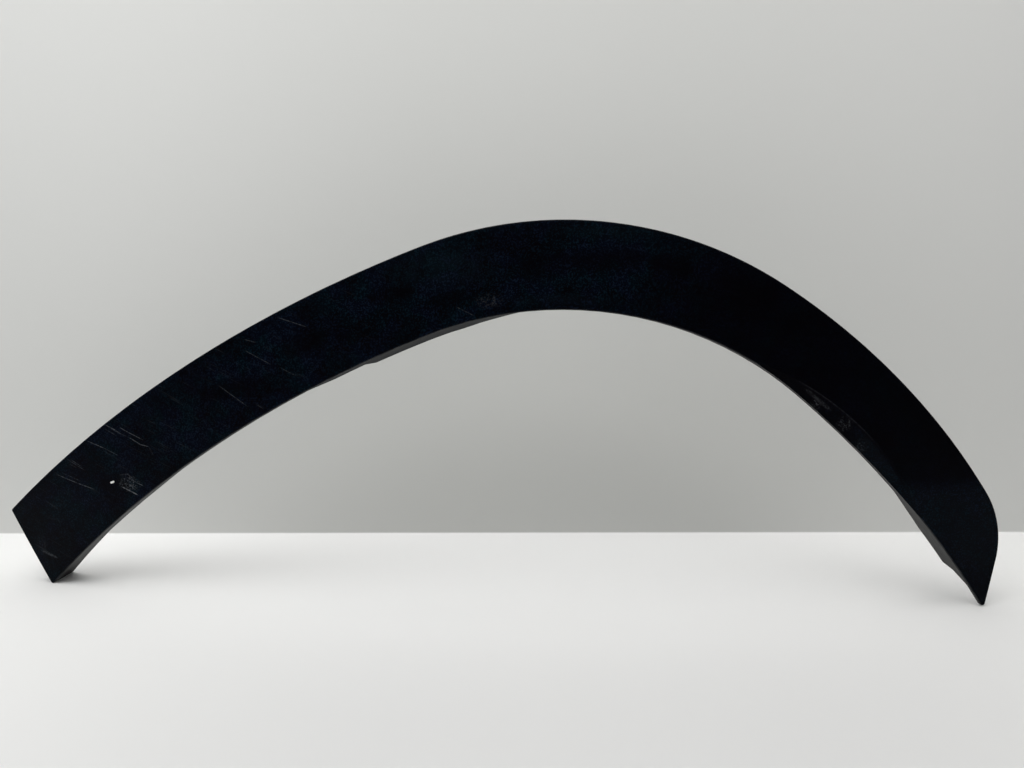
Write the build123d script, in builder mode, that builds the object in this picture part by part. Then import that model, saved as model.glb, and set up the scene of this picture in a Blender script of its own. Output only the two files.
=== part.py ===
from build123d import *
import os
from math import asin, cos, radians, sin, sqrt, tan

os.makedirs("parts", exist_ok=True)

# All sizes in millimetres and degrees. X runs along the car, Z is up, the face looks towards -Y.
# The origin is the locating peg's axis where it meets the body panel, in the middle of the crown.

# Body side that the face follows: a large ball, foremost at a point beside and below the crown.
body_radius = 2000.0
foremost_x = 86.5
foremost_drop = 182.5

# Moulding walls.
wall = 2.8
rim_depth = 12.0
edge_radius = 1.6
corner_radius = 2.0

# Band seen square-on: each edge leaves the crown level and runs down both sides in tangent arcs.
crown_band = 74.2
outer_crown_radius = 338.9
outer_bumper_turn = 20.35
outer_bumper_radius = 1280.0
outer_sill_turn = 32.8
outer_sill_radius = 640.0
outer_sill_leg_turn = 22.8
heel_radius = 81.2
heel_turn = 44.4
inner_crown_radius = 309.0
inner_bumper_turn = 21.3
inner_bumper_radius = 1090.0
inner_sill_turn = 39.6
inner_sill_radius = 918.0

# Square-cut bumper end: its lower corner, and the slope of the cut below the level.
foot_x = -481.2
foot_drop = 294.6
foot_cut = 59.3
foot_radius = 2.0

# Facet along the inner edge of the sill leg: a shallow dish whose rim is a crisp, round crease.
crease_x = 69.5
crease_drop = 328.5
crease_radius = 264.0
facet_angle = 20.0

# Pointed tip: its round end, and its rim, shallower behind a slanted step.
tip_radius = 2.2
tip_start = 431.0
tip_depth = 5.0
tip_slant = 55.0

# Deeper stretches of the inner return, as distances along the inner edge from the crown and depths there.
foot_return = ((372.0, rim_depth), (405.0, 19.0), (478.0, 20.0), (590.0, 38.0))
sill_return = (
    (336.0, rim_depth), (363.0, 21.0), (386.0, 26.6), (428.0, 27.4), (432.0, 15.0), (446.0, tip_depth)
)
arch_return = (
    (36.0, 4.0), (52.0, rim_depth), (83.0, 23.0), (166.0, 22.5), (175.0, rim_depth), (204.0, rim_depth),
    (236.0, 3.0),
)
return_zone = 9.0

# Lean of the arch stretch into the opening, square to the inner edge at its middle.
arch_lean = 12.0
arch_middle = 120.0
arch_root = 0.6
arch_reach = 50.0

# Towers that take the clips, at distances from the crown along the middle of the band.
bumper_towers = (110.0, 285.0, 460.0)
sill_towers = (110.0, 230.0, 345.0)
tower_length = 22.0
tower_width = 19.0
tower_wall = 1.8
tower_top = 2.0

# Cross ribs between the towers.
bumper_ribs = (55.0, 165.0, 230.0, 340.0, 405.0, 515.0)
sill_ribs = (55.0, 170.0, 290.0, 395.0)
rib_thickness = 1.6
rib_depth = 8.5

# Locating peg in the middle of the crown.
peg_radius = 3.0
peg_length = 9.0
peg_chamfer = 1.0
peg_base_radius = 6.0
peg_base_gap = 0.6

# Push-in clip, from its foot in the tower to its tip.
clip_foot_width = 13.0
clip_foot_chamfer = 3.0
clip_foot = 1.5
clip_neck = 6.0
clip_play = 0.2
slot_play = 0.3
clip_collar_radius = 8.5
clip_collar = 1.6
clip_stem = 4.4
clip_core = 2.4
clip_barb = 4.2
clip_barb_pitch = 4.0
clip_barbs = 2
clip_tip = 4.0
clip_tip_half = 1.4
clip_slit = 1.4

# Room left round the part when a form is drawn past it.
leg_overrun = 27.0
skirt = 460.0
reach = 180.0

ball_y = sqrt((body_radius - rim_depth) ** 2 - foremost_x**2 - foremost_drop**2)
ball = Location((foremost_x, ball_y, -foremost_drop))
inner_sides = {-1: (inner_bumper_turn, inner_bumper_radius), 1: (inner_sill_turn, inner_sill_radius)}


# Depth of the face, moved inwards by an inset, at a point seen square-on.
def skin_y(x, z, inset):
    return ball_y - sqrt((body_radius - inset) ** 2 - (x - foremost_x) ** 2 - (z + foremost_drop) ** 2)


# The inner edge, moved up into the band, from the crown down one side.
def arch_run(grow, side):
    turn, radius = inner_sides[side]
    with BuildLine() as run:
        crown = JernArc((0, grow - crown_band / 2), (side, 0), inner_crown_radius + grow, -side * turn)
        JernArc(crown @ 1, crown % 1, radius + grow, -side * leg_overrun)
    return run.wire()


# Everything under that edge.
def opening(grow):
    bumper_run = arch_run(grow, -1)
    sill_run = arch_run(grow, 1)
    with BuildSketch() as area:
        with BuildLine():
            add(bumper_run)
            add(sill_run)
            bumper_end = bumper_run @ 1
            sill_end = sill_run @ 1
            Polyline(bumper_end, (bumper_end.X, -1.2 * skirt), (sill_end.X, -1.2 * skirt), sill_end)
        make_face()
    return area.sketch


# A spot on the band: its place on the skin, the way along the band and the way out to the opening.
def station(grow, side, distance, inset):
    run = arch_run(grow, side)
    spot = run.position_at(distance / run.length)
    along = run.tangent_at(distance / run.length)
    place = Vector(spot.X, skin_y(spot.X, spot.Y, inset), spot.Y)
    return place, Vector(along.X, 0, along.Y), Vector(side * along.Y, 0, -side * along.X)


# Stretches of the return seen from above, from in front of the face to their depth behind it.
def return_plan(side, depths):
    backs = []
    for distance, depth in depths:
        place = station(0, side, distance, 0)[0]
        backs.append((place.X, place.Y + depth))
    with BuildSketch() as plan:
        with BuildLine():
            Polyline((backs[0][0], -reach), *backs, (backs[-1][0], -reach), close=True)
        make_face()
    return plan.sketch


with BuildSketch() as band:
    with BuildLine():
        crown_top = (0, crown_band / 2)
        bumper_crown = JernArc(crown_top, (-1, 0), outer_crown_radius, outer_bumper_turn)
        bumper_leg = JernArc(bumper_crown @ 1, bumper_crown % 1, outer_bumper_radius, leg_overrun)
        sill_crown = JernArc(crown_top, (1, 0), outer_crown_radius, -outer_sill_turn)
        sill_leg = JernArc(sill_crown @ 1, sill_crown % 1, outer_sill_radius, -outer_sill_leg_turn)
        heel = JernArc(sill_leg @ 1, sill_leg % 1, heel_radius, -heel_turn)
        point_side = Line(heel @ 1, heel @ 1 + (heel % 1) * heel_radius)
        leg_end = bumper_leg @ 1
        point_end = point_side @ 1
        Polyline(leg_end, (leg_end.X, -skirt), (point_end.X, -skirt), point_end)
    make_face()
    add(opening(0), mode=Mode.SUBTRACT)
    with Locations(Location((foot_x, -foot_drop, 0), (0, 0, -foot_cut))):
        Rectangle(skirt, skirt, align=(Align.CENTER, Align.MAX), mode=Mode.SUBTRACT)
    fillet(band.vertices().sort_by(Axis.X)[1], foot_radius)
    fillet(band.vertices().sort_by(Axis.X)[0], corner_radius)
    fillet(band.vertices().filter_by_position(Axis.X, 0, skirt).sort_by(Axis.Y)[0], tip_radius)

# The dish is a second ball, set in front of the body side so that the two meet in the crease.
crease_spread = asin(crease_radius / body_radius)
dish_spread = radians(facet_angle) - crease_spread
dish_radius = crease_radius / sin(dish_spread)
dish_way = Vector(crease_x, skin_y(crease_x, -crease_drop, 0), -crease_drop) - ball.position
dish_stand = body_radius * cos(crease_spread) + dish_radius * cos(dish_spread)
dish = Location(ball.position + dish_way.normalized() * dish_stand)


# The outside of the moulding, moved inwards by an inset.
def form(inset):
    with BuildPart() as body:
        with BuildSketch(Plane.XZ):
            offset(band.sketch, -inset, kind=Kind.INTERSECTION, mode=Mode.ADD)
        extrude(amount=reach, both=True)
        with Locations(ball):
            Sphere(body_radius - inset, mode=Mode.INTERSECT)
        with Locations(dish):
            Sphere(dish_radius + inset, mode=Mode.SUBTRACT)
    return body.part


# Its face alone.
def form_face(inset):
    return form(inset).faces().filter_by(GeomType.SPHERE).sort_by(SortBy.AREA)[-1]


# Space behind the rim, cleared everywhere except at the straight deep stretches of the return.
with BuildPart() as straight_returns:
    with BuildSketch(Plane.XY):
        add(return_plan(-1, foot_return))
        add(return_plan(1, sill_return))
    extrude(amount=skirt, both=True)
    with BuildSketch(Plane.XZ):
        add(opening(return_zone))
    extrude(amount=reach, both=True, mode=Mode.INTERSECT)

tip_spot = station(0, 1, tip_start, 0)[0]
tip_rise = reach * tan(radians(tip_slant))

with BuildPart() as behind_tip:
    with BuildSketch(Plane.YZ.offset(tip_spot.X - return_zone)):
        with BuildLine():
            tip_back = tip_spot.Y + rim_depth
            Polyline(
                (tip_back - reach, tip_spot.Z - tip_rise),
                (tip_back + reach, tip_spot.Z + tip_rise),
                (tip_back + reach, tip_spot.Z - tip_rise),
                close=True,
            )
        make_face()
    extrude(amount=reach)
    with Locations(ball):
        Sphere(body_radius - tip_depth, mode=Mode.INTERSECT)

with BuildPart() as behind_rim:
    with Locations(ball):
        Sphere(body_radius - rim_depth)
    add(behind_tip.part)
    add(straight_returns.part, mode=Mode.SUBTRACT)

# Leaning stretch of the return beside the crown: a block to be hollowed, and the hollow that leans with it.
arch_out = station(0, -1, arch_middle, 0)[2]
arch_way = Vector(0, 1, 0) * cos(radians(arch_lean)) + arch_out * sin(radians(arch_lean))

with BuildPart() as arch_zone:
    with BuildSketch(Plane.XY):
        add(return_plan(-1, arch_return))
    extrude(amount=skirt, both=True)
    with BuildSketch(Plane.XZ):
        add(opening(return_zone))
    extrude(amount=reach, both=True, mode=Mode.INTERSECT)

with BuildPart() as arch_block:
    extrude(form_face(arch_root), amount=arch_reach, dir=arch_way)
    add(arch_zone.part, mode=Mode.INTERSECT)

with BuildPart() as arch_hollow:
    extrude(form_face(wall + arch_root / 2), amount=arch_reach, dir=arch_way)
    add(arch_zone.part, mode=Mode.INTERSECT)

# Clip seats: flat spots square to the push-in way, one collar short of the panel.
seats = []
for side, distances in ((-1, bumper_towers), (1, sill_towers)):
    for distance in distances:
        place, along, out = station(crown_band / 2, side, distance, rim_depth)
        seats.append(Plane(place - Vector(0, clip_collar, 0), x_dir=along, z_dir=(0, 1, 0)))

slot_width = clip_neck + 2 * slot_play

with BuildPart() as towers:
    with BuildSketch(*seats):
        Rectangle(tower_length, tower_width)
    extrude(amount=-rim_depth)
    with BuildSketch(*[seat.offset(-tower_top) for seat in seats]):
        with Locations((tower_wall, 0)):
            Rectangle(tower_length, tower_width - 2 * tower_wall)
    extrude(amount=-rim_depth, mode=Mode.SUBTRACT)
    with BuildSketch(*seats):
        with Locations((-slot_width / 2, 0)):
            Rectangle(tower_length, slot_width, align=(Align.MIN, Align.CENTER))
    extrude(amount=-rim_depth, mode=Mode.SUBTRACT)
    with BuildSketch(Plane.XZ.offset(peg_base_gap)):
        Circle(peg_base_radius)
    extrude(amount=rim_depth)
    with Locations(ball):
        Sphere(body_radius - wall / 2, mode=Mode.INTERSECT)

with BuildPart() as peg:
    with BuildSketch(Plane.XZ.offset(2 * peg_base_gap)):
        Circle(peg_radius)
    extrude(amount=-peg_length - 2 * peg_base_gap)
    chamfer(peg.faces().sort_by(Axis.Y)[-1].edges(), peg_chamfer)

rib_planes = []
for side, distances in ((-1, bumper_ribs), (1, sill_ribs)):
    for distance in distances:
        place, along, out = station(crown_band / 2, side, distance, 0)
        rib_planes.append(Plane(place, x_dir=along, z_dir=(0, 1, 0)))

with BuildPart() as ribs:
    with BuildSketch(*rib_planes):
        Rectangle(rib_thickness, 2 * crown_band)
    extrude(amount=reach / 2, both=True)
    add(form(wall / 2), mode=Mode.INTERSECT)
    with Locations(ball):
        Sphere(body_radius - rib_depth, mode=Mode.SUBTRACT)

with BuildPart() as trim_moulding:
    with BuildSketch(Plane.XZ):
        add(band.sketch)
    extrude(amount=reach, both=True)
    with Locations(ball):
        Sphere(body_radius, mode=Mode.INTERSECT)
    fillet(trim_moulding.faces().filter_by(GeomType.SPHERE).edges(), edge_radius)
    with Locations(dish):
        Sphere(dish_radius, mode=Mode.SUBTRACT)
    add(behind_rim.part, mode=Mode.SUBTRACT)
    add(arch_block.part)
    add(form(wall), mode=Mode.SUBTRACT)
    add(arch_hollow.part, mode=Mode.SUBTRACT)
    add(ribs.part)
    add(towers.part)
    add(peg.part)

# One clip: foot under the tower's top, neck in its slot, collar on it, flat barbed stem with a slit.
foot_top = tower_top + clip_play
stem_end = clip_collar + clip_barbs * clip_barb_pitch

with BuildPart() as clip:
    with BuildSketch(Plane.XY.offset(-foot_top - clip_foot)) as foot_plate:
        Rectangle(clip_foot_width, clip_foot_width)
        chamfer(foot_plate.vertices(), clip_foot_chamfer)
    extrude(amount=clip_foot)
    with BuildSketch(Plane.XY.offset(-foot_top)):
        Rectangle(clip_neck, clip_neck)
    extrude(amount=foot_top)
    with BuildSketch(Plane.XY):
        Circle(clip_collar_radius)
    extrude(amount=clip_collar)
    with BuildSketch(Plane.XZ):
        with BuildLine():
            leg = [(clip_slit / 2, clip_collar), (clip_core, clip_collar)]
            for level in range(clip_barbs):
                barb_base = clip_collar + (level + 0.5) * clip_barb_pitch
                leg.append((clip_core, barb_base))
                leg.append((clip_barb, barb_base))
                leg.append((clip_core, barb_base + clip_barb_pitch / 2))
            leg.append((clip_tip_half, stem_end + clip_tip))
            leg.append((clip_slit / 2, stem_end + clip_tip))
            Polyline(*leg, close=True)
        make_face()
        mirror(about=Plane.YZ)
    extrude(amount=clip_stem / 2, both=True)

with BuildPart() as retaining_clips:
    for seat in seats:
        with Locations(seat.location):
            add(clip.part)

trim_moulding.part.label = "trim_moulding"
retaining_clips.part.label = "retaining_clips"
export_step(trim_moulding.part, "parts/trim_moulding.step")
export_step(retaining_clips.part, "parts/retaining_clips.step")

for name, piece in (("trim_moulding", trim_moulding), ("retaining_clips", retaining_clips)):
    box = piece.part.bounding_box()
    print(name, "solids", len(piece.part.solids()), "volume", round(piece.part.volume))
    print(name, "size", box.size, "from", box.min)
for number, seat in enumerate(seats):
    print("clip", number, seat.origin)
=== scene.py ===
from math import cos, hypot, radians, sin

import bpy
import numpy as np
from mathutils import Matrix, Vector


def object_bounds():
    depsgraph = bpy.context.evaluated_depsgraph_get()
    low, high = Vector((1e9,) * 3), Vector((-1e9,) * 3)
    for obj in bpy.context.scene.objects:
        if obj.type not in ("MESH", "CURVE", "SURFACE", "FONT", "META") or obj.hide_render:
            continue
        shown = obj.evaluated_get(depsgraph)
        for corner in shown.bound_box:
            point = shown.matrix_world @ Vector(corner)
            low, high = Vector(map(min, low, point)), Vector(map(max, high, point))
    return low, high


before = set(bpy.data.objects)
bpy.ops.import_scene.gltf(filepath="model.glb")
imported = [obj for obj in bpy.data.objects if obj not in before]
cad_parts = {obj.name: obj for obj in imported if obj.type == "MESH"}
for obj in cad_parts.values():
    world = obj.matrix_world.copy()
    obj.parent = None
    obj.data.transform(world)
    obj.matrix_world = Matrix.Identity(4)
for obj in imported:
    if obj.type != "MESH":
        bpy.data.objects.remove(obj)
cadLow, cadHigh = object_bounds()
scene = bpy.context.scene
scene.view_settings.view_transform = "Standard"
floorLevel = cadLow.z
print("frame loaded:", ", ".join(sorted(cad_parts)))

photoView = {
    "place": (-0.0415, -0.6495, -0.0428),  # metres, in the trim's own frame
    "tilt": 5.0,  # degrees below level
    "roll": 0.09,  # degrees
    "lens": 27.0,
    "sensor": 36.0,
}
cameraData = bpy.data.cameras.new("photoCamera")
cameraData.lens = photoView["lens"]
cameraData.sensor_width = photoView["sensor"]
camera = bpy.data.objects.new("photoCamera", cameraData)
camera.location = photoView["place"]
camera.rotation_euler = (radians(90 - photoView["tilt"]), radians(photoView["roll"]), 0)
scene.collection.objects.link(camera)
scene.camera = camera
print("camera set")


class Wire:  # a socket of a node tree; sums and products of wires add Math nodes
    def __init__(self, tree, socket=None):
        self.tree = tree
        self.socket = socket

    def node(self, kind, settings=None, inputs=None, out=0):  # settings first, then values or links
        made = self.tree.nodes.new("ShaderNode" + kind)
        for name, value in (settings or {}).items():
            setattr(made, name, value)
        for key, value in (inputs or {}).items():
            if isinstance(value, Wire):
                self.tree.links.new(value.socket, made.inputs[key])
            else:
                made.inputs[key].default_value = value
        return Wire(self.tree, made.outputs[out] if made.outputs else None)

    def math(self, operation, first, second=0.0):
        return self.node("Math", {"operation": operation}, {0: first, 1: second})

    def __add__(self, other):
        return self.math("ADD", self, other)

    def __radd__(self, other):
        return self.math("ADD", other, self)

    def __sub__(self, other):
        return self.math("SUBTRACT", self, other)

    def __rsub__(self, other):
        return self.math("SUBTRACT", other, self)

    def __mul__(self, other):
        return self.math("MULTIPLY", self, other)

    def __rmul__(self, other):
        return self.math("MULTIPLY", other, self)

    def __truediv__(self, other):
        return self.math("DIVIDE", self, other)

    def __rtruediv__(self, other):
        return self.math("DIVIDE", other, self)

    def __pow__(self, other):
        return self.math("POWER", self, other)

    def __rpow__(self, other):
        return self.math("POWER", other, self)

    def most(self, other):  # the greater of the two
        return self.math("MAXIMUM", self, other)

    def ease(self, low, high, start=0.0, end=1.0):  # start at low, end at high, smooth between
        ends = {0: self, 1: low, 2: high, 3: start, 4: end}
        return self.node("MapRange", {"interpolation_type": "SMOOTHSTEP"}, ends)

    def blend(self, first, second):  # the first colour where this is 0, the second where it is 1
        return self.node("Mix", {"data_type": "RGBA"}, {0: self, 6: first, 7: second}, 2)

    def split(self, part):  # X, Y or Z of a vector, as part 0, 1 or 2
        return self.node("SeparateXYZ", None, {0: self}, part)

    def scaled(self, factor):  # a vector times a number
        return self.node("VectorMath", {"operation": "SCALE"}, {0: self, "Scale": factor})

    def toward(self, way):  # how far a place lies along a direction
        return self.node("VectorMath", {"operation": "DOT_PRODUCT"}, {0: self, 1: way}, "Value")

    def span(self, centre):  # how far a place lies from a point
        return self.node("VectorMath", {"operation": "DISTANCE"}, {0: self, 1: centre}, "Value")

    def size(self):  # the value without its sign
        return self.math("ABSOLUTE", self)


def newMaterial(name):  # an empty material, and a wire that adds nodes to its tree
    material = bpy.data.materials.new(name)
    material.use_nodes = True
    material.node_tree.nodes.clear()
    return material, Wire(material.node_tree)


def output(tree, shader):  # the shader becomes the surface
    tree.node("OutputMaterial", None, {"Surface": shader})


def millimetres(tree):  # a piece's own coordinates times 1000
    return tree.node("TexCoord", None, None, "Object").scaled(1000)


def noise(tree, place, scale, detail, rough):  # layers of noise, around a half
    look = {"Vector": place, "Scale": scale, "Detail": detail, "Roughness": rough}
    return tree.node("TexNoise", None, look)


def patches(tree, place, look, base=0.0):  # noise as a mask: base below its low level, 1 above its high one
    scale, detail, rough, low, high = look
    return noise(tree, place, scale, detail, rough).ease(low, high, base, 1)


def uneven(mask, share):  # 1 where the mask is 1, less by the share where it is 0
    return mask * share + (1 - share)


# Backdrop: a level floor that turns up into a wall, carried straight along X, its colours fading as painted
# light and shade. Lengths are in metres.
backdrop = {
    "floorNear": (0.68, 0.68, 0.68, 1),
    "floorFarPaintedLight": (0.95, 0.95, 0.95, 1),
    "floorFade": -0.25,  # Y from which the floor grows paler with painted light, up to the wall
    "wallLow": (0.572, 0.577, 0.559, 1),
    "wallHighPaintedLight": (0.705, 0.71, 0.695, 1),
    "wallFade": (-0.28, 0.30),  # Z over which the wall grows paler with painted light from above
    "wallTopPaintedShade": (0.40, 0.405, 0.395, 1),  # painted shade high on the wall, close to the lamps, above the main camera's view
    "topFade": (0.40, 1.20),
    "sides": (0.95, 0.95, 0.94, 1),  # painted light, mixed in towards the left and right
    "sideFade": (0.1, 0.55),
    "floorLift": 0.42,  # how much of it is mixed in
    "wallLift": 0.25,
    "wallY": 0.228,
    "front": -2.6,
    "behind": 2.4,
    "height": 2.2,
    "halfWidth": 3.0,
    "turn": 0.0025,  # radius where floor and wall meet
    "turnPoints": 7,
    "turnFloor": 0.2,  # share of the turn's height that keeps the floor's colour
    "roughness": 0.7,
}


def sheetAlongX(name, profile, halfWidth):  # a grid: profile points (y, z) down, the two ends of X across
    points = np.empty((len(profile), 2, 3))
    points[..., 0] = (-halfWidth, halfWidth)
    points[..., 1] = profile[:, 0, None]
    points[..., 2] = profile[:, 1, None]
    index = np.arange(2 * len(profile)).reshape(-1, 2)
    quads = np.stack([index[:-1, 0], index[:-1, 1], index[1:, 1], index[1:, 0]], -1)
    mesh = bpy.data.meshes.new(name)
    mesh.from_pydata(points.reshape(-1, 3).tolist(), [], quads.tolist())
    mesh.shade_smooth()
    made = bpy.data.objects.new(name, mesh)
    scene.collection.objects.link(made)
    return made


def backdropMaterial(look):  # floor below, wall above, each fading from colour to colour as painted light and shade; clear from behind
    material, tree = newMaterial("paleBackdrop")
    place = tree.node("TexCoord", None, None, "Object")
    height = place.split(2)
    aside = place.split(0).size().ease(*look["sideFade"])
    floor = place.split(1).ease(look["floorFade"], look["wallY"]).blend(look["floorNear"], look["floorFarPaintedLight"])
    floor = (aside * look["floorLift"]).blend(floor, look["sides"])
    wall = height.ease(*look["wallFade"]).blend(look["wallLow"], look["wallHighPaintedLight"])
    wall = height.ease(*look["topFade"]).blend(wall, look["wallTopPaintedShade"])
    wall = (aside * look["wallLift"]).blend(wall, look["sides"])
    rise = height.ease(floorLevel + look["turnFloor"] * look["turn"], floorLevel + look["turn"])
    front = tree.node("BsdfPrincipled", None, {
        "Base Color": rise.blend(floor, wall), "Roughness": look["roughness"],
    })
    back = tree.node("NewGeometry", None, None, "Backfacing")
    clear = tree.node("BsdfTransparent")
    output(tree, tree.node("MixShader", None, {0: back, 1: front, 2: clear}))
    return material


turnAngle = np.linspace(0, np.pi / 2, backdrop["turnPoints"])
turnY = backdrop["wallY"] - backdrop["turn"] + backdrop["turn"] * np.sin(turnAngle)
turnZ = floorLevel + backdrop["turn"] - backdrop["turn"] * np.cos(turnAngle)
backdropProfile = np.concatenate([
    [(backdrop["front"], floorLevel)],
    np.column_stack([turnY, turnZ]),
    [(backdrop["wallY"], floorLevel + backdrop["height"])],
])
floorBehind = np.array([(turnY[0], floorLevel), (backdrop["behind"], floorLevel)])
paleBackdrop = backdropMaterial(backdrop)
for sheetName, sheetProfile in (("backdropSheet", backdropProfile), ("floorBehind", floorBehind)):
    sheet = sheetAlongX(sheetName, sheetProfile, backdrop["halfWidth"])
    sheet.data.materials.append(paleBackdrop)
print("backdrop made")

# Lights: a wide soft panel overhead, a smaller one up on the left, and a dim even surround.
lamps = {
    "overhead": {"place": (-0.16, -0.25, 1.35), "aim": (-0.08, 0.0, -0.25), "size": 2.3, "power": 38.5,
                 "colour": (1.0, 0.99, 0.97)},
    "leftSide": {"place": (-1.15, -0.85, 1.25), "aim": (-0.55, 0.1, -0.25), "size": 1.5, "power": 7.0,
                 "colour": (0.96, 0.99, 1.0)},
}
surround = {"colour": (0.93, 0.96, 1.0, 1), "strength": 0.10}


def addLamp(name, look):  # a square panel at its place, turned to face its aim
    data = bpy.data.lights.new(name, "AREA")
    data.size = look["size"]
    data.energy = look["power"]
    data.color = look["colour"]
    made = bpy.data.objects.new(name, data)
    made.location = look["place"]
    made.rotation_mode = "QUATERNION"
    made.rotation_quaternion = (Vector(look["aim"]) - made.location).to_track_quat("-Z", "Y")
    scene.collection.objects.link(made)


for lampName, lampLook in lamps.items():
    addLamp(lampName, lampLook)
world = bpy.data.worlds.new("evenSurround")
world.use_nodes = True
world.node_tree.nodes["Background"].inputs["Color"].default_value = surround["colour"]
world.node_tree.nodes["Background"].inputs["Strength"].default_value = surround["strength"]
scene.world = world
print("lights set")
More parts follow.
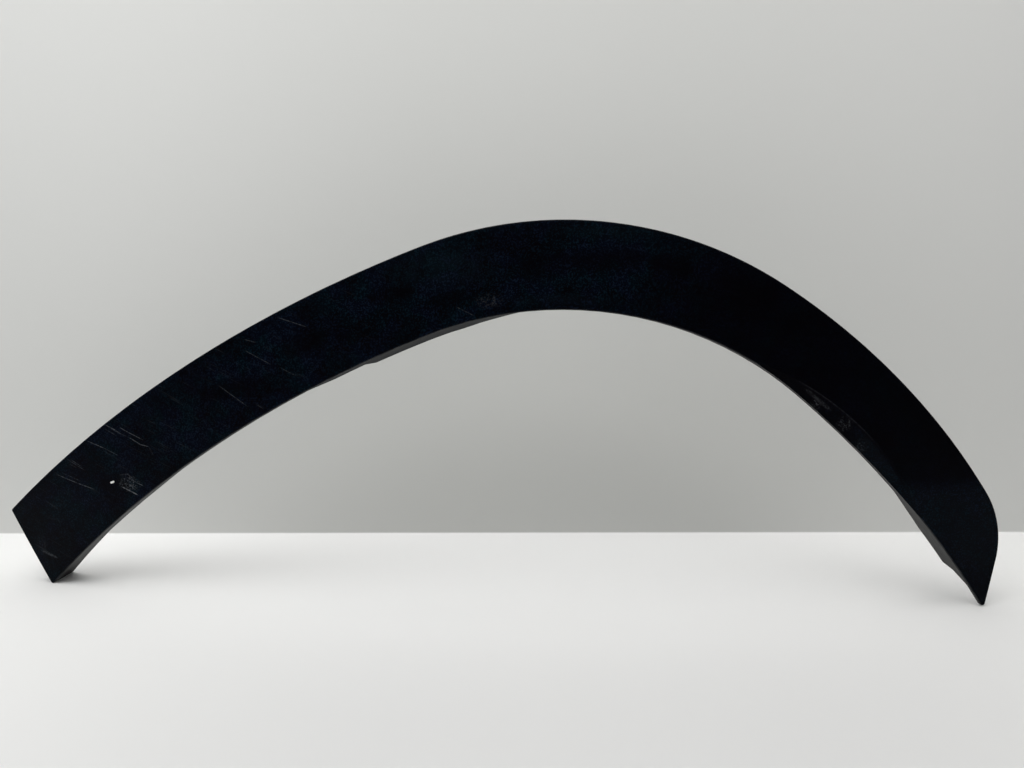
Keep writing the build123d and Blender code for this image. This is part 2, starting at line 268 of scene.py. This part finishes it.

# Black moulding. Wear and painted light and shade are placed by X and Z on the face, in millimetres.
# A mark is its strength, its half width and the two ends of its run.
black = {
    "deep": (0.0010, 0.0007, 0.0015, 1),
    "teal": (0.0005, 0.0025, 0.0047, 1),
    "violet": (0.0008, 0.0018, 0.0052, 1),
    "tealFleck": (0.0032, 0.0099, 0.0160, 1),
    "violetFleck": (0.0046, 0.0086, 0.0180, 1),
    "haze": (0.0026, 0.0054, 0.0072, 1),
    # glow: the tint of the painted floor reflection on the pointed end and the facet
    "glow": (0.0028, 0.0037, 0.0056, 1),
    "side": (0.0170, 0.0172, 0.0176, 1),  # rim and returns, moulded without grain
    "sideRollHighlight": (0.0610, 0.0612, 0.0620, 1),  # painted highlight on their first millimetres behind the face
    "sideLit": (0.0620, 0.0620, 0.0615, 1),  # painted light on their palest stretches, at the two ends
    "back": (0.0300, 0.0305, 0.0320, 1),
    "backPale": (0.0460, 0.0465, 0.0480, 1),
    # colour of the rounded edges: wear, and a painted highlight along them
    "wornEdgeAndHighlight": (0.050, 0.051, 0.053, 1),
    # scratch is also the colour of the crease's painted highlight
    "scratch": (0.125, 0.132, 0.145, 1),
    "dust": (0.085, 0.083, 0.078, 1),
    "chip": (0.80, 0.80, 0.78, 1),
    "gloss": 0.02,
    "rough": 0.31,
    "roughMore": (0.04, 0.03, 0.2, 0.15, 0.09),  # added on clouds, mottling, wear with the crease's painted highlight, dust and returns
    # noises: scale per millimetre, detail, roughness, and the levels where a mask starts and is full
    "clouds": (0.024, 3.0, 0.6, 0.38, 0.62),
    "mottle": (0.12, 3.0, 0.6, 0.36, 0.66),
    "tints": (0.05, 2.0, 0.5, 0.42, 0.58),
    "flecks": (0.68, 2.0, 0.7, 0.51, 0.61),
    "hairs": (1.0, 2.0, 0.6, 0.63, 0.77),
    "bits": (0.55, 2.0, 0.6, 0.40, 0.60),
    "rubs": (0.60, 3.0, 0.75, 0.48, 0.64),
    "breaks": (0.30, 2.0, 0.5, 0.34, 0.56),
    "streaks": (1.0, 3.0, 0.65, 0.36, 0.62),
    "dusting": (0.12, 3.0, 0.5, 0.35, 0.65),
    "grain": (1.15, 2.0, 0.55),
    "bump": {"Strength": 0.22, "Distance": 0.00012},
    "wearDip": 0.4,  # how far wear and the crease's painted highlight lower the grain
    # facing is 1 on the face, 0 on the returns and -1 on the back
    "faceTurn": (0.6, 0.85),
    "edgeIn": (0.08, 0.4),  # the rounded edge, from the returns
    "edgeOut": (0.7, 0.9),  # and up to the face
    "returnTurn": (-0.1, 0.45),
    "backTurn": (-0.6, -0.2),
    "dustTurn": (0.55, 0.95),  # the same for facing up
    # shares of what is mixed in
    "cloudShare": 0.6,  # in the tint, the rest is mottling
    "paleShare": 0.8,
    "fleckUneven": 0.5,
    "hazeUneven": 0.6,
    "shadeUneven": 0.4,
    "creaseUneven": 0.6,
    "edgeUneven": 0.6,
    "edgeWearAndHighlight": 0.7,
    "dustShare": 0.35,
    "hairWear": 0.085,
    "bitsBase": 0.25,
    "streakBase": 0.2,
    "sheenEnd": (35.0, 165.0),  # X over which the painted bluish sheen thins out
    "sheenLeft": 0.2,  # what is left of it
    "slope": -24.0,  # degrees, the way the hairlines run
    "hairScale": (0.028, 0.02, 0.85),  # along them, through the wall, across them
    "hairEnd": (-290.0, -80.0),  # X over which they thin out
    "scratches": (
        (0.55, 0.62, (-411.8, -139.2), (-397.6, -145.4)),
        (0.36, 0.55, (-409.4, -140.6), (-393.0, -147.6)),
        (0.26, 0.55, (-404.6, -143.4), (-386.6, -150.4)),
        (0.40, 0.60, (-396.7, -141.1), (-385.0, -146.8)),
        (0.40, 0.60, (-389.5, -144.7), (-370.4, -152.9)),
        (0.46, 0.62, (-387.8, -149.7), (-373.0, -157.3)),
        (0.44, 0.62, (-377.6, -155.9), (-366.0, -158.2)),
        (0.22, 0.60, (-412.4, -143.0), (-398.0, -149.8)),
        (0.15, 0.70, (-366.8, -157.6), (-361.8, -166.8)),
        (0.52, 0.60, (-432.0, -154.8), (-411.0, -161.8)),
        (0.22, 0.55, (-415.0, -160.2), (-396.8, -168.0)),
        (0.30, 0.60, (-450.5, -172.7), (-436.6, -180.2)),
        (0.20, 0.55, (-456.0, -171.8), (-432.0, -184.0)),
        (0.16, 0.60, (-452.0, -177.4), (-442.2, -181.2)),
        (0.42, 0.62, (-467.8, -187.7), (-439.5, -196.4)),
        (0.42, 0.62, (-446.0, -194.5), (-423.4, -200.4)),
        (0.18, 0.55, (-462.8, -185.4), (-436.4, -194.0)),
        (0.26, 0.80, (-399.2, -185.3), (-387.5, -183.7)),
        (0.26, 0.80, (-390.6, -182.2), (-382.6, -190.4)),
        (0.85, 0.80, (-398.2, -194.9), (-377.8, -203.4)),
        (0.50, 0.60, (-380.4, -191.4), (-373.2, -194.1)),
        (0.24, 0.60, (-388.0, -194.1), (-379.9, -196.4)),
        (0.22, 1.90, (-491.0, -262.8), (-469.0, -269.6)),
        (0.30, 0.55, (-244.6, -42.2), (-213.4, -52.0)),
        (0.22, 0.60, (-273.4, -61.7), (-261.2, -64.7)),
        (0.22, 0.55, (-275.0, -70.0), (-246.4, -84.3)),
        (0.18, 0.55, (-242.0, -84.9), (-224.4, -93.7)),
        (0.24, 0.55, (-300.0, -100.1), (-268.0, -121.4)),
        (0.16, 0.55, (-264.0, -117.0), (-255.2, -121.8)),
        (0.22, 0.55, (-89.6, -33.6), (-71.4, -42.6)),
        (0.15, 2.20, (199.0, -101.0), (226.0, -122.5)),
    ),
    "scuffs": (  # centre, half sizes, strength
        ((-388.0, -192.5), (14.0, 9.0), 0.50),
        ((-60.5, -29.5), (15.0, 8.0), 0.15),
        ((-488.0, -258.0), (8.0, 14.0), 0.08),
        ((211.0, -116.0), (6.0, 7.0), 0.34),
        ((236.0, -132.5), (8.0, 9.0), 0.24),
        ((252.0, -152.0), (7.0, 9.0), 0.14),
    ),
    "hazes": (  # paler patches, the same way
        ((-102.0, -2.0), (66.0, 24.0), 0.55),
        ((36.0, 26.0), (62.0, 9.0), 0.50),
        ((-5.0, -29.0), (60.0, 8.0), 0.45),
    ),
    "shadeMarks": (  # painted shade: soft marks where the face is nearly black
        (0.85, 13.0, (-322.0, -112.5), (-256.0, -98.8)),
        (0.80, 15.0, (-244.0, -74.5), (-193.0, -56.5)),
        (0.90, 9.0, (-170.0, -28.5), (-116.0, -19.2)),
        (0.70, 10.0, (-115.0, -31.5), (-79.0, -24.3)),
        (0.70, 17.0, (-40.0, -8.0), (14.0, 6.0)),
        (0.80, 15.0, (-8.0, 1.0), (78.0, 5.0)),
        (0.80, 12.0, (65.0, 3.5), (112.0, -6.5)),
        (0.80, 17.0, (116.0, -8.0), (186.0, -34.0)),
        (0.50, 9.0, (-453.0, -244.0), (-415.0, -205.0)),
        (0.75, 9.0, (-422.0, -197.0), (-394.0, -187.5)),
    ),
    "chipRun": (1.0, 1.35, (-408.2, -193.2), (-403.1, -191.3)),
    "chipEdge": (0.1, 0.6),
    "floorReflectionZ": (-196.0, -172.0),  # Z below which the pointed end is paler with painted reflection of the floor
    "floorReflectionX": (225.0, 300.0),
    "tipFade": (-285.0, -235.0),  # Z over which the painted reflection dims again towards the tip
    "tipGlow": 0.4,
    "facetX": (232.0, 262.0),  # the facet is paler with painted reflection from here on, below the crease
    "facetZ": (-200.0, -176.0),
    "facetFade": (0.5, 3.0),
    "bowCentre": (86.5, 1977.7, -182.5),  # of the face's sphere
    "bowRadius": 2000.0,
    "rollHighlightDepth": (5.0, 19.0),  # depth behind the face over which the returns' painted highlight fades
    "streakScale": (0.05, 0.8),  # along the returns, and with their depth
    "litTip": (230.0, 290.0),  # X where the return above the tip grows pale with painted light
    "litFoot": (-395.0, -350.0),  # X where the painted light on the return at the foot ends
    "litHeel": (-468.0, -440.0),  # and where it starts
    "creaseCentre": (69.6, -327.2),
    "creaseRadius": 263.0,
    "creaseWidth": (0.1, 0.9),
    "creaseHighlightShare": 0.075,
    "creaseStart": (190.0, 202.0),  # X where the crease's painted highlight comes in
    "creaseEnd": (242.0, 272.0),  # and thins out
}
markShape = {
    "level": 0.3,  # share of a run, to each side of its middle, that keeps its width
    "core": 0.15,  # share of the width at full strength
    "ovalCore": 0.25,
}


def streak(spot, mark):  # the mark's strength along its run, which narrows to nothing at both ends
    strength, width, (startX, startZ), (endX, endZ) = mark
    run = hypot(endX - startX, endZ - startZ)
    wayX, wayZ = (endX - startX) / run, (endZ - startZ) / run
    along = spot.toward((wayX, 0, wayZ)) - (startX * wayX + startZ * wayZ + run / 2)
    beside = spot.toward((-wayZ, 0, wayX)) - (startZ * wayX - startX * wayZ)
    level = markShape["level"]
    taper = (along.size() - level * run).most(0) * (width / ((0.5 - level) * run))
    return (beside.size() + taper).ease(markShape["core"] * width, width, strength, 0)


def strongest(made):  # the greatest of several marks at each place
    top = made[0]
    for other in made[1:]:
        top = top.most(other)
    return top


def distance(first, second):  # length of the two sides' hypotenuse
    return (first * first + second * second) ** 0.5


def oval(x, z, centre, half, strength):  # the strength round an oval's centre, 0 from its rim outwards
    reach = distance((x - centre[0]) / half[0], (z - centre[1]) / half[1])
    return reach.ease(markShape["ovalCore"], 1, strength, 0)


def blackMaterial(look):  # colours laid over each other, each by a mask from 0 to 1
    material, tree = newMaterial("grainedBlackPlastic")
    spot = millimetres(tree)
    x, z = spot.split(0), spot.split(2)
    normal = tree.node("NewGeometry", None, None, "Normal")
    facing = 0 - normal.split(1)
    front = facing.ease(*look["faceTurn"])

    # uneven black: wide clouds, smaller mottling, two tints and the pale tips of the grain
    clouds = patches(tree, spot, look["clouds"])
    mottle = patches(tree, spot, look["mottle"])
    shift = patches(tree, spot, look["tints"])
    flecks = patches(tree, spot, look["flecks"])

    # painted reflection of the floor makes the pointed end and the facet paler; ridge is the distance
    # inside the crease's circle
    ridge = look["creaseRadius"] - distance(x - look["creaseCentre"][0], z - look["creaseCentre"][1])
    floorReflection = z.ease(*look["floorReflectionZ"], 1, 0) * z.ease(*look["tipFade"], look["tipGlow"], 1)
    facet = ridge.ease(*look["facetFade"]) * x.ease(*look["facetX"]) * z.ease(*look["facetZ"])
    pale = (floorReflection * x.ease(*look["floorReflectionX"])).most(facet)
    # painted sheen: the bluish tint and the pale flecks are strongest on the left, thin out to the right,
    # and stay full on the painted floor reflection
    paintedSheen = x.ease(*look["sheenEnd"], 1, look["sheenLeft"]).most(pale)

    # hairlines: noise drawn out along the way that they run, thinning out towards the crown
    cosine, sine = cos(radians(look["slope"])), sin(radians(look["slope"]))
    alongScale, throughScale, acrossScale = look["hairScale"]
    drawnOut = tree.node("CombineXYZ", None, {
        0: (x * cosine + z * sine) * alongScale,
        1: spot.split(1) * throughScale,
        2: (z * cosine - x * sine) * acrossScale,
    })
    hairs = patches(tree, drawnOut, look["hairs"]) * x.ease(*look["hairEnd"], 1, 0)

    # placed scratches, broken up, then ovals scuffed by short marks, paler patches and dark marks of
    # painted shade
    lines = strongest([streak(spot, mark) for mark in look["scratches"]])
    lines = lines * patches(tree, spot, look["bits"], look["bitsBase"])
    scuffs = strongest([oval(x, z, *patch) for patch in look["scuffs"]])
    scuffs = scuffs * patches(tree, spot, look["rubs"])
    hazes = strongest([oval(x, z, *patch) for patch in look["hazes"]])
    hazes = hazes * uneven(mottle, look["hazeUneven"])
    shadeMarks = strongest([streak(spot, mark) for mark in look["shadeMarks"]])
    shadeMarks = shadeMarks * uneven(mottle, look["shadeUneven"])

    # painted highlight along the crease's ridge
    creaseHighlight = ridge.size().ease(*look["creaseWidth"], look["creaseHighlightShare"], 0)
    creaseHighlight = creaseHighlight * uneven(patches(tree, spot, look["breaks"]), look["creaseUneven"])
    creaseHighlight = creaseHighlight * x.ease(*look["creaseStart"]) * x.ease(*look["creaseEnd"], 1, 0)
    wearAndHighlight = (lines.most(scuffs).most(creaseHighlight) + hairs * look["hairWear"]) * front

    # returns: painted highlight where they roll out of the face and painted light near the two ends, with
    # streaks along them
    depth = look["bowRadius"] - spot.span(look["bowCentre"])  # behind the face's sphere
    runScale, depthScale = look["streakScale"]
    flow = tree.node("CombineXYZ", None, {0: x * runScale, 1: depth * depthScale, 2: z * runScale})
    streaks = patches(tree, flow, look["streaks"], look["streakBase"])
    lit = x.ease(*look["litTip"]).most(x.ease(*look["litFoot"], 1, 0) * x.ease(*look["litHeel"]))
    side = (depth.ease(*look["rollHighlightDepth"], 1, 0) * streaks).blend(look["side"], look["sideRollHighlight"])
    side = (lit * streaks).blend(side, look["sideLit"])

    # the rounded edges: worn, and lightened further as a painted highlight
    edges = facing.ease(*look["edgeIn"]) * facing.ease(*look["edgeOut"], 1, 0)
    dusty = normal.split(2).ease(*look["dustTurn"]) * patches(tree, spot, look["dusting"])
    inside = facing.ease(*look["returnTurn"], 1, 0)
    behind = facing.ease(*look["backTurn"], 1, 0)
    chip = streak(spot, look["chipRun"]).ease(*look["chipEdge"]) * front

    tint = pale.blend(shift.blend(look["teal"], look["violet"]), look["glow"])
    fleck = shift.blend(look["tealFleck"], look["violetFleck"])
    tinted = (clouds * look["cloudShare"] + mottle * (1 - look["cloudShare"])) * paintedSheen
    colour = tinted.most(pale * look["paleShare"]).blend(look["deep"], tint)
    colour = hazes.blend(colour, look["haze"])
    colour = (flecks * uneven(clouds, look["fleckUneven"]) * paintedSheen).blend(colour, fleck)
    colour = shadeMarks.blend(colour, look["deep"])
    colour = inside.blend(colour, side)
    colour = behind.blend(colour, clouds.blend(look["back"], look["backPale"]))
    colour = (edges * uneven(mottle, look["edgeUneven"]) * look["edgeWearAndHighlight"]).blend(colour, look["wornEdgeAndHighlight"])
    colour = (dusty * look["dustShare"]).blend(colour, look["dust"])
    colour = wearAndHighlight.blend(colour, look["scratch"])
    colour = chip.blend(colour, look["chip"])
    rougher = zip((clouds, mottle, wearAndHighlight, dusty, inside), look["roughMore"])
    rough = sum((mask * more for mask, more in rougher), look["rough"])

    height = noise(tree, spot, *look["grain"]) - wearAndHighlight * look["wearDip"]
    output(tree, tree.node("BsdfPrincipled", None, {
        "Base Color": colour, "Roughness": rough, "Specular IOR Level": look["gloss"],
        "Normal": tree.node("Bump", None, {**look["bump"], "Height": height}),
    }))
    return material


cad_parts["trim_moulding"].data.materials[0] = blackMaterial(black)
print("moulding dressed")

# Natural nylon of the clips: milky, a little yellower where it is older.
nylon = {
    "milk": (0.70, 0.68, 0.61, 1),
    "aged": (0.56, 0.51, 0.40, 1),
    "rough": 0.40,
    "roughMore": 0.15,  # added on the flow lines
    "ageing": (0.11, 3.0, 0.5, 0.38, 0.72),  # noises, as for the moulding
    "flow": (0.8, 2.0, 0.5),
    "bump": {"Strength": 0.15, "Distance": 0.0001},
}


def nylonMaterial(look):  # two colours mixed by a mask of age; fine noise gives roughness and bump
    material, tree = newMaterial("naturalNylon")
    spot = millimetres(tree)
    age = patches(tree, spot, look["ageing"])
    flow = noise(tree, spot, *look["flow"])
    output(tree, tree.node("BsdfPrincipled", None, {
        "Base Color": age.blend(look["milk"], look["aged"]),
        "Roughness": look["rough"] + flow * look["roughMore"],
        "Normal": tree.node("Bump", None, {**look["bump"], "Height": flow}),
    }))
    return material


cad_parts["retaining_clips"].data.materials[0] = nylonMaterial(nylon)
print("clips dressed")
